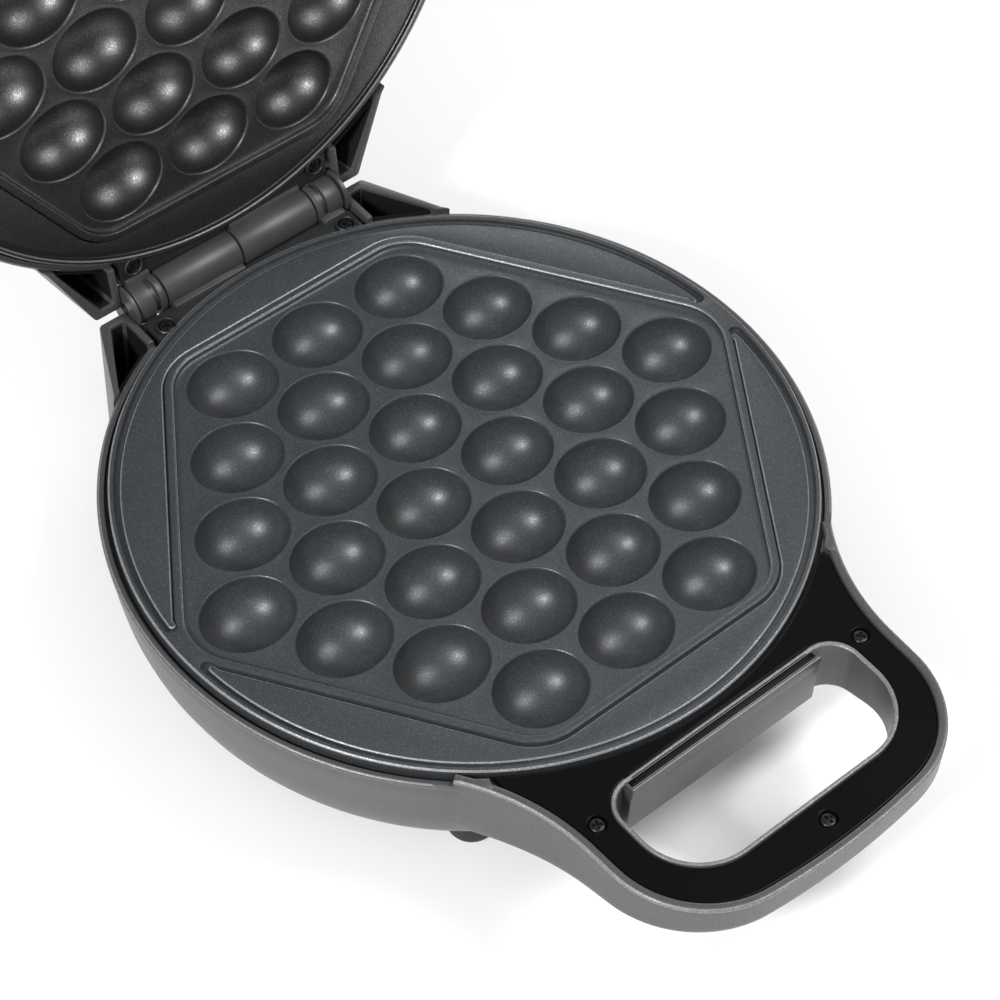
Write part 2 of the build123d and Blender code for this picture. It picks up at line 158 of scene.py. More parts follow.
class Mould:
    def __init__(self):
        self.points = []
        self.faces = []

    def ring(self, outline, z):
        first = len(self.points)
        for k, (x, y) in enumerate(outline):
            self.points.append((x, y, z[k] if hasattr(z, "__len__") else z))
        return list(range(first, len(self.points)))

    def strip(self, a, b, closed=True):
        n = len(a)
        for k in range(n if closed else n - 1):
            j = (k + 1) % n
            self.faces.append((a[k], a[j], b[j], b[k]))

    def edge(self, outline, profile, closed=True):
        rings = [self.ring(offsetOutline(outline, d), z) for d, z in profile]
        for a, b in zip(rings, rings[1:]):
            self.strip(a, b, closed)
        return rings

    def fill(self, outer, holes, height, extra=()):
        spots = list(outer)
        edges = [(k, (k + 1) % len(outer)) for k in range(len(outer))]
        for hole in holes:
            first = len(spots)
            spots += hole
            edges += [(first + k, first + (k + 1) % len(hole)) for k in range(len(hole))]
        spots += list(extra)
        made = delaunay_2d_cdt([Vector(s) for s in spots], edges, [], 0, 1e-5)
        flat = np.array([(v.x, v.y) for v in made[0]])
        tris = np.array([f for f in made[2] if len(f) == 3])
        middle = flat[tris].mean(1)
        keep = insideOutline(middle, list(outer))
        for hole in holes:
            keep &= ~insideOutline(middle, hole)
        first = len(self.points)
        for x, y in flat:
            self.points.append((x, y, height(x, y) if callable(height) else height))
        self.faces += [tuple(first + int(i) for i in t) for t in tris[keep]]

    def lathe(self, profile, segments, place):
        rings = []
        for k in range(segments):
            t = math.radians(360 * k / segments)
            row = []
            for r, z in profile:
                row.append(len(self.points))
                self.points.append(tuple(place @ Vector((r * math.cos(t), r * math.sin(t), z))))
            rings.append(row)
        for a, b in zip(rings, rings[1:] + rings[:1]):
            self.strip(a, b, closed=False)

    def block(self, low, high, bevel=0.3):
        x, y = (low[0] + high[0]) / 2, (low[1] + high[1]) / 2
        w, d = (high[0] - low[0]) / 2, (high[1] - low[1]) / 2
        outline = roundedOutline(boxCorners(x, y, w, d), bevel, 3)
        rings = self.edge(outline, [(-bevel, low[2]), (0, low[2] + bevel), (0, high[2] - bevel),
                                    (-0.3 * bevel, high[2] - 0.3 * bevel), (-bevel, high[2])])
        self.faces.append(tuple(rings[0]))
        self.faces.append(tuple(rings[-1]))

    def object(self, name, finish, smooth=32, outward=True):
        mesh = bpy.data.meshes.new(name)
        mesh.from_pydata(self.points, [], self.faces)
        work = bmesh.new()
        work.from_mesh(mesh)
        bmesh.ops.remove_doubles(work, verts=work.verts, dist=weld)
        bmesh.ops.dissolve_degenerate(work, edges=work.edges, dist=1e-5)
        if outward:
            bmesh.ops.recalc_face_normals(work, faces=work.faces)
        work.to_mesh(mesh)
        work.free()
        obj = bpy.data.objects.new(name, mesh)
        bpy.context.scene.collection.objects.link(obj)
        mesh.materials.append(finish)
        mesh.shade_smooth()
        mesh.set_sharp_from_angle(angle=math.radians(smooth))
        return obj


def join(name, objects):
    work = bmesh.new()
    for obj in objects:
        work.from_mesh(obj.data)
    mesh = objects[0].data
    bmesh.ops.remove_doubles(work, verts=work.verts, dist=weld)
    bmesh.ops.recalc_face_normals(work, faces=work.faces)
    work.to_mesh(mesh)
    work.free()
    for obj in objects[1:]:
        bpy.data.objects.remove(obj)
    objects[0].name = name
    return objects[0]


def seat(obj, half, slotName, *nodes):
    obj.data.transform(halfPlace(half))
    obj.data.update()
    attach(obj, half)
    if nodes:
        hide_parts(*nodes)
    return obj


# Shader maths

class Val:
    def __init__(self, tree, socket):
        self.tree, self.socket = tree, socket

    def math(self, op, *others):
        return self.tree.node("ShaderNodeMath", {"operation": op}, [self, *others])

    def __add__(self, other):
        return self.math("ADD", other)

    def __sub__(self, other):
        return self.math("SUBTRACT", other)

    def __rsub__(self, other):
        return self.tree.number(other).math("SUBTRACT", self)

    def __mul__(self, other):
        return self.math("MULTIPLY", other)

    __radd__ = __add__
    __rmul__ = __mul__

    def band(self, low, high):
        return self.tree.node("ShaderNodeMapRange", {"clamp": True, "interpolation_type": "SMOOTHSTEP"},
                              {"Value": self, "From Min": low, "From Max": high}, "Result")


class Finish:
    def __init__(self, name):
        self.material = bpy.data.materials.new(name)
        self.material.use_nodes = True
        self.nodes = self.material.node_tree.nodes
        self.links = self.material.node_tree.links
        self.shader = self.nodes["Principled BSDF"]
        self.spot = self.node("ShaderNodeTexCoord", {}, {}, "Object")

    def plug(self, socket, value):
        if isinstance(value, Val):
            self.links.new(value.socket, socket)
        elif hasattr(socket.default_value, "__len__") and not hasattr(value, "__len__"):
            socket.default_value = (value,) * len(socket.default_value)
        else:
            socket.default_value = value

    def node(self, kind, settings, inputs, output=0):
        made = self.nodes.new(kind)
        for key, value in settings.items():
            setattr(made, key, value)
        pairs = inputs.items() if isinstance(inputs, dict) else enumerate(inputs)
        for key, value in pairs:
            self.plug(made.inputs[key], value)
        return Val(self, made.outputs[output])

    def number(self, value):
        return self.node("ShaderNodeMath", {"operation": "ADD"}, [value, 0.0])

    def mix(self, amount, a, b):
        return self.node("ShaderNodeMix", {"data_type": "RGBA"},
                         {"Factor": amount, 6: a, 7: b}, 2)

    def noise(self, scale, detail=2.0, rough=0.5, distort=0.0, spot=None):
        inputs = {"Vector": spot or self.spot, "Scale": scale, "Detail": detail, "Roughness": rough,
                  "Distortion": distort}
        return self.node("ShaderNodeTexNoise", {}, inputs, "Fac")

    def flecks(self, scale, least):
        cells = self.node("ShaderNodeTexVoronoi", {}, {"Vector": self.spot, "Scale": scale}, "Color")
        return self.node("ShaderNodeSeparateColor", {}, [cells]).band(least, 1.0)

    def stretched(self, x, y, z):
        return self.node("ShaderNodeMapping", {}, {"Vector": self.spot, "Scale": (x, y, z)})

    def bump(self, height, strength, distance):
        return self.node("ShaderNodeBump", {}, {"Height": height, "Strength": strength, "Distance": distance})

    def set(self, **values):
        names = {"color": "Base Color", "rough": "Roughness", "metal": "Metallic", "coat": "Coat Weight",
                 "coatRough": "Coat Roughness", "normal": "Normal", "specular": "Specular IOR Level"}
        for key, value in values.items():
            self.plug(self.shader.inputs[names[key]], value)
        return self.material


def grey(level, warm=0.0):
    return (level * (1 + warm), level, level * (1 - warm), 1.0)


def housingPaint():
    f = Finish("housingPaint")
    glint = f.flecks(7000, 0.55)
    broad = f.noise(22, 3, 0.55)
    # rubbed wear, which changes roughness only
    wearAndHighlight = f.noise(160, 4, 0.6).band(0.62, 0.8)
    color = f.mix(glint, grey(0.078), grey(0.14))
    color = f.mix(broad.band(0.3, 0.75) * 0.35, color, grey(0.105))
    rough = 0.36 + broad * 0.08 + wearAndHighlight * 0.05 - glint * 0.05
    skin = f.noise(900, 2, 0.5) * 0.6 + f.noise(240, 2, 0.5) * 0.8
    return f.set(color=color, metal=0.55, rough=rough, specular=0.5, normal=f.bump(skin, 0.12, 0.0002))


def nonStick(name, level, warm=-0.05, rough=0.36, metal=0.3):
    f = Finish(name)
    fleck = f.flecks(5200, 0.74)
    fine = f.flecks(9000, 0.6)
    cloud = f.noise(35, 4, 0.6)
    stain = f.noise(11, 5, 0.65, 0.6).band(0.5, 0.8)
    base = f.mix(fleck * 0.75, grey(level, warm), grey(level * 3.0, warm))
    base = f.mix(fine * 0.4, base, grey(level * 2.0, warm))
    base = f.mix(cloud.band(0.25, 0.8) * 0.3, base, grey(level * 0.75, warm))
    rough = rough + cloud * 0.10 - fleck * 0.08 + stain * 0.05
    skin = f.noise(1500, 2, 0.6) * 0.5 + f.noise(420, 2, 0.5)
    return f.set(color=base, metal=metal, rough=rough, specular=0.5, normal=f.bump(skin, 0.2, 0.0002))


def trimPlastic():
    f = Finish("trimPlastic")
    cloud = f.noise(18, 3, 0.5)
    skin = f.noise(1300, 2, 0.5)
    color = f.mix(cloud, grey(0.0025), grey(0.0038))
    return f.set(color=color, rough=0.28 + cloud * 0.06, specular=0.07, normal=f.bump(skin, 0.05, 0.0001))


def blackSteel():
    f = Finish("blackSteel")
    scuff = f.noise(700, 4, 0.65).band(0.5, 0.75)
    color = f.mix(scuff * 0.5, grey(0.03), grey(0.09))
    skin = f.noise(1600, 2)
    return f.set(color=color, metal=0.8, rough=0.34 + scuff * 0.12, normal=f.bump(skin, 0.1, 0.0001))


def barrelMetal():
    f = Finish("barrelMetal")
    grain = f.noise(60, 4, 0.6, 0.0, f.stretched(4, 60, 60))
    cloud = f.noise(90, 3, 0.55)
    color = f.mix(cloud, grey(0.045), grey(0.08))
    return f.set(color=color, metal=0.45, rough=0.36 + grain * 0.12, normal=f.bump(grain, 0.08, 0.0002))


def bareSteel(name, level, warm=0.0, rough=0.3):
    f = Finish(name)
    grain = f.noise(90, 4, 0.6, 0.0, f.stretched(3, 40, 40))
    tint = f.noise(40, 3, 0.6)
    color = f.mix(tint, grey(level * 0.8, warm), grey(level, warm * 0.5))
    return f.set(color=color, metal=1.0, rough=rough + grain * 0.12, normal=f.bump(grain, 0.06, 0.0002))


def mouldedPlastic(name, color, rough=0.45):
    f = Finish(name)
    cloud = f.noise(45, 3, 0.55)
    darker = tuple(c * 0.8 for c in color) + (1.0,)
    shade = f.mix(cloud, darker, tuple(color) + (1.0,))
    return f.set(color=shade, rough=rough + cloud * 0.1, normal=f.bump(f.noise(700, 3), 0.1, 0.0002))


def rubber():
    f = Finish("rubber")
    grit = f.noise(600, 4, 0.6)
    dust = f.noise(60, 4, 0.6).band(0.5, 0.8)
    color = f.mix(dust * 0.5, grey(0.018, 0.08), grey(0.05, 0.06))
    return f.set(color=color, rough=0.62 + grit * 0.15, normal=f.bump(grit, 0.25, 0.0003))


def lampLens(name, color):
    f = Finish(name)
    swirl = f.noise(120, 2, 0.5)
    shade = f.mix(swirl, color, tuple(c * 0.7 for c in color[:3]) + (1.0,))
    return f.set(color=shade, rough=0.12 + swirl * 0.06, coat=0.6, coatRough=0.05)


finishes = {
    "housing": housingPaint(),
    "plate": nonStick("nonStick", 0.044, -0.08),
    "lidPlate": nonStick("nonStickLid", 0.075, -0.01, 0.38, 0.95),
    # painted highlights: lighter copies of the coatings, for the thin lines along the plates' and the housing's
    # edges
    "baseEdge": nonStick("nonStickHighlightPaint", 0.18),
    "lidEdge": nonStick("nonStickLidHighlightPaint", 0.10),
    "housingHighlightPaint": nonStick("housingHighlightPaint", 0.15, 0.0, 0.4),
    # painted shade: the plate's coating made darker on the low tab by the hinge
    "tab": nonStick("nonStickShadedTab", 0.016),
    # painted shade: near-black lining for the hinge pockets
    "pocket": mouldedPlastic("pocketPaintedShade", (0.008, 0.008, 0.009)),
    "trim": trimPlastic(),
    "screw": blackSteel(),
    "barrel": barrelMetal(),
    # painted shade: the hinge pin's steel is made much darker than bare steel, as it sits in shade inside the
    # barrels
    "pin": bareSteel("pinSteel", 0.12),
    "element": bareSteel("heatedTube", 0.25, 0.08, 0.35),
    "shield": bareSteel("shieldSheet", 0.65, 0.0, 0.2),
    "thermostat": mouldedPlastic("phenolic", (0.08, 0.05, 0.035)),
    "terminal": mouldedPlastic("terminalPlastic", (0.6, 0.58, 0.52)),
    "gland": rubber(),
    "foot": rubber(),
    "redLamp": lampLens("redLens", (0.5, 0.02, 0.015, 1.0)),
    "greenLamp": lampLens("greenLens", (0.02, 0.35, 0.06, 1.0)),
}
print("finishes made:", len(finishes))


# Geometry Nodes

def nodeTree(name, inputs):
    tree = bpy.data.node_groups.new(name, "GeometryNodeTree")
    for label, kind, value in inputs:
        socket = tree.interface.new_socket(label, in_out="INPUT", socket_type=kind)
        if value is not None and hasattr(socket, "default_value"):
            socket.default_value = value
    tree.interface.new_socket("Geometry", in_out="OUTPUT", socket_type="NodeSocketGeometry")
    return tree


def addNode(tree, kind, settings=None, links=None):
    node = tree.nodes.new(kind)
    for key, value in (settings or {}).items():
        setattr(node, key, value)
    for key, value in (links or {}).items():
        if isinstance(value, bpy.types.NodeSocket):
            tree.links.new(value, node.inputs[key])
        else:
            node.inputs[key].default_value = value
    return node


def runTree(tree, name, values, carrier=None):
    if carrier is None:
        carrier = bpy.data.objects.new(name, bpy.data.meshes.new(name))
        bpy.context.scene.collection.objects.link(carrier)
    modifier = carrier.modifiers.new("build", "NODES")
    modifier.node_group = tree
    for item in tree.interface.items_tree:
        if item.item_type == "SOCKET" and item.in_out == "INPUT" and item.name in values:
            modifier[item.identifier] = values[item.name]
    bpy.context.view_layer.update()
    evaluated = carrier.evaluated_get(bpy.context.evaluated_depsgraph_get())
    mesh = bpy.data.meshes.new_from_object(evaluated)
    carrier.modifiers.remove(modifier)
    old = carrier.data
    carrier.data = mesh
    bpy.data.meshes.remove(old)
    carrier.name = name
    return carrier


# The end that both trees share: a piece set at each point, made real and given its finish

def endTree(tree, start, points, turn=None):
    info = addNode(tree, "GeometryNodeObjectInfo", {"transform_space": "ORIGINAL"},
                   {"Object": start.outputs["Piece"]})
    put = addNode(tree, "GeometryNodeInstanceOnPoints", None,
                  {"Points": points, "Instance": info.outputs["Geometry"]})
    if turn:
        tree.links.new(turn, put.inputs["Rotation"])
    real = addNode(tree, "GeometryNodeRealizeInstances", None, {"Geometry": put.outputs[0]})
    dress = addNode(tree, "GeometryNodeSetMaterial", None,
                    {"Geometry": real.outputs[0], "Material": start.outputs["Finish"]})
    addNode(tree, "NodeGroupOutput", None, {0: dress.outputs[0]})
    return tree


def spreadTree():
    tree = nodeTree("spreadPieces", [
        ("Places", "NodeSocketGeometry", None),
        ("Piece", "NodeSocketObject", None),
        ("Turn Range", "NodeSocketFloat", 0.0),
        ("Seed", "NodeSocketInt", 7),
        ("Finish", "NodeSocketMaterial", None),
    ])
    start = addNode(tree, "NodeGroupInput")
    turn = addNode(tree, "FunctionNodeRandomValue", {"data_type": "FLOAT"},
                   {2: 0.0, 3: start.outputs["Turn Range"], "Seed": start.outputs["Seed"]})
    spin = addNode(tree, "ShaderNodeCombineXYZ", None, {"Z": turn.outputs[1]})
    return endTree(tree, start, start.outputs["Places"], spin.outputs[0])


def bubbleTree():
    tree = nodeTree("bubbleRows", [
        ("Pitch", "NodeSocketFloat", 30.0),
        ("Row Pitch", "NodeSocketFloat", 22.16),
        ("Reach", "NodeSocketInt", 5),
        ("Rows", "NodeSocketInt", 7),
        ("Piece", "NodeSocketObject", None),
        ("Height", "NodeSocketFloat", 0.0),
        ("Finish", "NodeSocketMaterial", None),
    ])
    start = addNode(tree, "NodeGroupInput")

    def calc(op, a, b=0.0):
        return addNode(tree, "ShaderNodeMath", {"operation": op}, {0: a, 1: b}).outputs[0]

    step = calc("MULTIPLY", start.outputs["Pitch"], 0.5)
    columns = calc("ADD", calc("MULTIPLY", start.outputs["Reach"], 2.0), 1.0)
    width = calc("MULTIPLY", start.outputs["Pitch"], start.outputs["Reach"])
    depth = calc("MULTIPLY", start.outputs["Row Pitch"], calc("SUBTRACT", start.outputs["Rows"], 1.0))
    grid = addNode(tree, "GeometryNodeMeshGrid", None, {
        "Size X": width, "Size Y": depth, "Vertices X": columns, "Vertices Y": start.outputs["Rows"]})
    spot = addNode(tree, "ShaderNodeSeparateXYZ", None,
                   {0: addNode(tree, "GeometryNodeInputPosition").outputs[0]})
    column = calc("ROUND", calc("DIVIDE", spot.outputs["X"], step))
    row = calc("ROUND", calc("DIVIDE", spot.outputs["Y"], start.outputs["Row Pitch"]))
    total = calc("ADD", calc("ABSOLUTE", column), calc("ABSOLUTE", row))
    odd = calc("GREATER_THAN", calc("MODULO", total, 2.0), 0.5)
    near = calc("LESS_THAN", total, calc("ADD", start.outputs["Reach"], 0.5))
    drop = calc("LESS_THAN", calc("MULTIPLY", odd, near), 0.5)
    places = addNode(tree, "GeometryNodeDeleteGeometry", None,
                     {"Geometry": grid.outputs["Mesh"], "Selection": drop})
    lift = addNode(tree, "ShaderNodeCombineXYZ", None, {"Z": start.outputs["Height"]})
    raised = addNode(tree, "GeometryNodeSetPosition", None,
                     {"Geometry": places.outputs[0], "Offset": lift.outputs[0]})
    return endTree(tree, start, raised.outputs[0])


spreader = spreadTree()
bubbler = bubbleTree()


def spread(name, places, piece, finish, turnRange=0.0):
    mesh = bpy.data.meshes.new(name)
    mesh.from_pydata(places, [], [])
    carrier = bpy.data.objects.new(name, mesh)
    bpy.context.scene.collection.objects.link(carrier)
    made = runTree(spreader, name, {
        "Piece": piece, "Turn Range": turnRange, "Seed": 7, "Finish": finish}, carrier)
    made.data.shade_smooth()
    made.data.set_sharp_from_angle(angle=math.radians(32))
    return made


# Thin lines of lighter colour along edges: painted highlights, where rounded edges would catch the light

def makePaintedHighlights(name, half, slotName, strips, finish):
    m = Mould()
    for outline, profile, closed in strips:
        m.edge(outline, profile, closed)
    return seat(m.object(half + name, finish, 60, outward=False), half, slotName)


# Cooking plate

plate = {
    "top": -0.2,
    "land": -2.2,
    "radius": 97.8,
    "hexDepth": 80.3,
    "hexReach": 78.9,
    "hexCorner": 15.0,
    "frameWidth": 2.3,
    "padDrop": 0.95,
    "grooveDrop": 1.9,
    "grooveOuter": 96.3,
    "padOuter": 94.6,
    "padInner": 2.95,
    "tipHalf": 8.2,
    "tabHalf": 36.9,
    "tabRear": 100.1,
    "tabTop": -1.3,
    "under": -5.2,
    "coreInset": 1.0,
    "coreUnder": -16.6,
    "screwAt": (32.5, 94.4),
    "eye": (2.45, 3.1),      # inside and outside radius of the raised ring round a hinge screw
    "eyeTop": -0.1,
    "smooth": 22,            # edges sharper than this stay sharp
}

bubble = {
    "length": 26.9,
    "width": 23.3,
    "depth": 11.5,
    "pitch": 30.0,
    "rowPitch": 22.16,
    "rows": 7,
    "longestRow": 6,
    "lip": 0.9,
    "edgeDrop": 0.45,
    "fullness": 0.92,
    "around": 44,
    "levels": 13,
}


def bubbleCentres():
    spots = []
    outermost = bubble["rows"] // 2
    for row in range(-outermost, outermost + 1):
        count = bubble["longestRow"] - abs(row)
        spots += [((k - (count - 1) / 2) * bubble["pitch"], row * bubble["rowPitch"]) for k in range(count)]
    return spots


def oval(cx, cy, grow, share=1.0):
    n = bubble["around"]
    a, b = (bubble["length"] / 2 + grow) * share, (bubble["width"] / 2 + grow) * share
    turns = [2 * math.pi * k / n for k in range(n)]
    return [(cx + a * math.cos(t), cy + b * math.sin(t)) for t in turns]


def bubbleHollow():
    m = Mould()
    drop, levels, n = bubble["edgeDrop"], bubble["levels"], bubble["around"]
    rows = [(bubble["lip"], 0.0), (0.6, 0.06), (0.35, 0.02), (0.15, -0.15), (0.0, -drop)]
    rings = [m.ring(oval(0, 0, grow), z) for grow, z in rows]
    for k in range(1, levels):
        t = math.pi / 2 * k / levels
        z = -drop - (bubble["depth"] - drop) * math.sin(t)
        rings.append(m.ring(oval(0, 0, 0, math.cos(t) ** bubble["fullness"]), z))
    for p, q in zip(rings, rings[1:]):
        m.strip(p, q)
    tip = len(m.points)
    m.points.append((0, 0, -bubble["depth"]))
    last = rings[-1]
    m.faces += [(last[i], last[(i + 1) % n], tip) for i in range(n)]
    return m.object("bubbleHollow", finishes["plate"], outward=False)


def hexOutline(margin):
    slant = math.atan2(bubble["pitch"] / 2, bubble["rowPitch"])
    depth, reach, r = plate["hexDepth"], plate["hexReach"], plate["hexCorner"]
    sideX = reach / math.cos(slant)
    endX = (reach - depth * math.sin(slant)) / math.cos(slant)
    corners = [(sideX, 0), (endX, depth), (-endX, depth), (-sideX, 0), (-endX, -depth), (endX, -depth)]
    return offsetOutline(dense(roundedOutline(corners, r, 14), 6.0), margin)


def fieldOutline(outer, margin, tip):
    start = math.degrees(math.asin(tip / outer))
    rim = arc(0, 0, outer, start, 180 - start, 90)
    inner = [p for p in hexOutline(margin) if p[1] > tip]
    inner.sort(key=lambda p: math.atan2(p[1], p[0]), reverse=True)
    edge = []
    for sign in (-1, 1):
        x = next(abs(p[0]) for p in (inner if sign < 0 else inner[::-1]))
        far = math.sqrt(outer ** 2 - tip ** 2)
        middle, half = (x + far) / 2, (far - x) / 2
        cap = [(sign * (middle + half * math.cos(t)), tip - half * math.sin(t))
               for t in np.linspace(0, math.pi, 9)[1:-1]]
        edge.append(cap if sign < 0 else cap[::-1])
    return rim + edge[0] + inner + edge[1]


def tabOutline():
    x, rear, r = plate["tabHalf"], plate["tabRear"], plate["radius"] - 0.3
    start = math.degrees(math.acos(x / r))
    side = r * math.sin(math.radians(start))
    corners = roundedOutline([(x, side), (x, rear), (-x, rear), (-x, side)], [0, 1.4, 1.4, 0], 4)
    return corners + arc(0, 0, r, 180 - start, start, 60)[1:-1]


def makeTab(half):
    m = Mould()
    tab = tabOutline()
    top, under = plate["tabTop"], plate["under"]
    inner, outer = plate["eye"]
    screwX, screwY = plate["screwAt"]
    eyes = [circle(side * screwX, screwY, inner, 36) for side in (-1, 1)]
    m.fill(offsetOutline(tab, -0.35), eyes, top)
    m.edge(tab, [(-0.35, top), (-0.1, top - 0.07), (0, top - 0.3), (0, under)])
    m.fill(tab, [], under)
    for eye in eyes:
        m.edge(eye, [(0, top), (0, top - 0.7)])
        m.fill(eye, [], top - 0.7)
    crest = plate["eyeTop"]
    for side in (-1, 1):
        profile = [(inner, top - 0.6), (inner, crest - 0.2), (inner + 0.15, crest), (outer - 0.25, crest),
                   (outer, crest - 0.25), (outer, top - 0.1), (inner, top - 0.6)]
        m.lathe(profile, 36, Matrix.Translation((side * screwX, screwY, 0)))
    # the tab's darker coating is painted shade
    seat(m.object(half + "PlateTab", finishes["tab"], 35), half, "cooking_plate")


def turned(outline):
    return [(-x, -y) for x, y in outline]


# The painted highlight lines: the lower plate shows its hexagon and raised fields, the lid only one circle

def makePlatePaintedHighlights(half, rim, hexagon, pads):
    top = plate["top"]
    padTop = top - plate["padDrop"]
    strips = [(rim, [(0.03, top - 0.5), (-0.2, top - 0.08), (-0.5, top + 0.02)], True)]
    if half == "base":
        strips.append((hexagon, [(0.5, top + 0.02), (0.12, top - 0.18), (-0.03, top - 0.5)], True))
        padLine = [(0.03, padTop - 0.35), (-0.12, padTop - 0.08), (-0.4, padTop + 0.02)]
        strips += [(pad, padLine, True) for pad in pads]
    else:
        # a ring of painted highlight along the groove's outer edge
        wearAndHighlight = circle(0, 0, plate["grooveOuter"], 180)
        strips.append((wearAndHighlight, [(0.35, top + 0.02), (0.15, top - 0.06), (-0.03, top - 0.38)], True))
    makePaintedHighlights("PlateEdges", half, "cooking_plate", strips, finishes[half + "Edge"])


def makePlate(half, finish):
    m = Mould()
    top, land, under = plate["top"], plate["land"], plate["under"]
    hexagon = hexOutline(0)
    m.fill(offsetOutline(hexagon, -1.2), [oval(x, y, bubble["lip"]) for x, y in bubbleCentres()], land)
    m.edge(hexagon, [(-1.2, land), (-0.7, land + 0.07), (-0.3, land + 0.3), (-0.05, land + 0.75),
                     (0, land + 1.1), (0, top - 0.5), (0.12, top - 0.2), (0.35, top - 0.03), (0.6, top)])
    groove = fieldOutline(plate["grooveOuter"], plate["frameWidth"], plate["tipHalf"])
    pad = fieldOutline(plate["padOuter"], plate["padInner"], plate["tipHalf"] + 0.7)
    grooves, pads = [groove, turned(groove)], [pad, turned(pad)]
    floor, padTop = top - plate["grooveDrop"], top - plate["padDrop"]
    for groove, pad in zip(grooves, pads):
        m.edge(groove, [(0.45, top), (0.18, top - 0.08), (0.0, top - 0.4), (-0.02, floor + 0.3),
                        (-0.2, floor)])
        m.fill(offsetOutline(groove, -0.2), [offsetOutline(pad, 0.1)], floor)
        m.edge(pad, [(0.1, floor), (0.0, floor + 0.2), (-0.02, padTop - 0.35), (-0.15, padTop - 0.1),
                     (-0.45, padTop)])
        m.fill(offsetOutline(pad, -0.45), [], padTop)
    rim = circle(0, 0, plate["radius"], 180)
    openings = [offsetOutline(hexagon, 0.6)] + [offsetOutline(g, 0.45) for g in grooves]
    m.fill(offsetOutline(rim, -0.6), openings, top)
    makePlatePaintedHighlights(half, rim, hexagon, pads)
    m.edge(rim, [(-0.6, top), (-0.2, top - 0.1), (0, top - 0.5), (0, under)])
    core, coreUnder = offsetOutline(hexagon, -plate["coreInset"]), plate["coreUnder"]
    m.fill(rim, [core], under)
    m.edge(core, [(0, under), (0, coreUnder)])
    m.fill(core, [], coreUnder)
    makeTab(half)
    body = m.object("plateBody", finish)
    hollow = bubbleHollow()
    seats = runTree(bubbler, "bubbleSeats", {
        "Pitch": bubble["pitch"], "Row Pitch": bubble["rowPitch"], "Reach": bubble["longestRow"] - 1,
        "Rows": bubble["rows"], "Piece": hollow, "Height": land, "Finish": finish})
    bpy.data.objects.remove(hollow)
    whole = join(half + "Plate", [body, seats])
    whole.data.shade_smooth()
    whole.data.set_sharp_from_angle(angle=math.radians(plate["smooth"]))
    return seat(whole, half, "cooking_plate", half + "_plate")


for half, finish in (("base", finishes["plate"]), ("lid", finishes["lidPlate"])):
    made = makePlate(half, finish)
    print(half, "plate made:", len(made.data.polygons), "faces")


# Hinge barrels and their arms, part of each plate's casting

knuckle = {
    "radius": 6.3,
    "bore": 2.05,
    "neck": 4.6,
    "long": (-26.8, -0.2),
    "end": (27.2, 36.5),
    "slot": (29.4, 31.2, 5.1),      # start, end and radius
    "strap": (37.1, 38.4, 7.1),
    "armFront": 98.4,
}


def makeArm(m, low, high):
    m.block((low + 0.6, knuckle["armFront"], -knuckle["radius"] + 0.2),
            (high - 0.6, hinge["reach"] - 1, -0.3), 0.5)


def makeKnuckles(half):
    m = Mould()
    lieAlongX = Matrix.Translation((0, hinge["reach"], 0)) @ Matrix.Rotation(math.pi / 2, 4, "Y")
    r, bore, neck = knuckle["radius"], knuckle["bore"], knuckle["neck"]
    low, high = knuckle["long"]
    m.lathe([(bore, low), (r - 0.7, low), (r - 0.2, low + 0.2), (r, low + 0.7), (r, high - 0.7),
             (r - 0.2, high - 0.2), (r - 0.7, high), (bore, high), (bore, low)], 64, lieAlongX)
    makeArm(m, low, high)
    low, high = knuckle["end"]
    slotLow, slotHigh, slotRadius = knuckle["slot"]
    strapLow, strapHigh, strapRadius = knuckle["strap"]
    m.lathe([(bore, low), (r - 0.6, low), (r - 0.2, low + 0.15), (r, low + 0.5), (r, slotLow - 0.2),
             (r - 0.2, slotLow), (slotRadius, slotLow + 0.1), (slotRadius, slotHigh - 0.1),
             (r - 0.2, slotHigh), (r, slotHigh + 0.2), (r, high - 0.5), (r - 0.3, high),
             (neck, high + 0.05), (neck, strapLow - 0.05), (strapRadius - 0.3, strapLow),
             (strapRadius, strapLow + 0.25), (strapRadius, strapHigh - 0.25),
             (strapRadius - 0.3, strapHigh), (bore, strapHigh), (bore, low)], 64, lieAlongX)
    makeArm(m, low, high)
    return seat(m.object(half + "Knuckles", finishes["barrel"]), half, "cooking_plate")


for half in halves:
    makeKnuckles(half)
print("hinge barrels made")


# Housings

shell = {
    "base": 43.5,                    # depth of each bowl
    "lid": 41.0,
    "lip": (98.9, 101.0),            # inside and outside radius
    "lipTop": -2.8,
    "seat": (96.0, -5.3, -30.0),     # radius, top and bottom of the wall inside the lip
    "bottom": 80.5,
    "notchRadius": 99.5,
    "wingRoot": (59.4, 82.5),
    "wingEnd": (47.6, 106.2),
    "wall": 2.7,
    "wingTop": -0.6,
    "cheek": (38.6, 40.8),           # inside and outside of the wall beside the hinge
    "cheekStart": 9.5,               # behind the wing's root
    "blockFront": 40.0,
    "innerFront": 88.0,
    "pocketFloor": -36.0,
    "pocketFront": (92.6, 84.2),
    "shelf": -5.05,
    "trough": -9.6,
    "troughFront": 98.0,
}

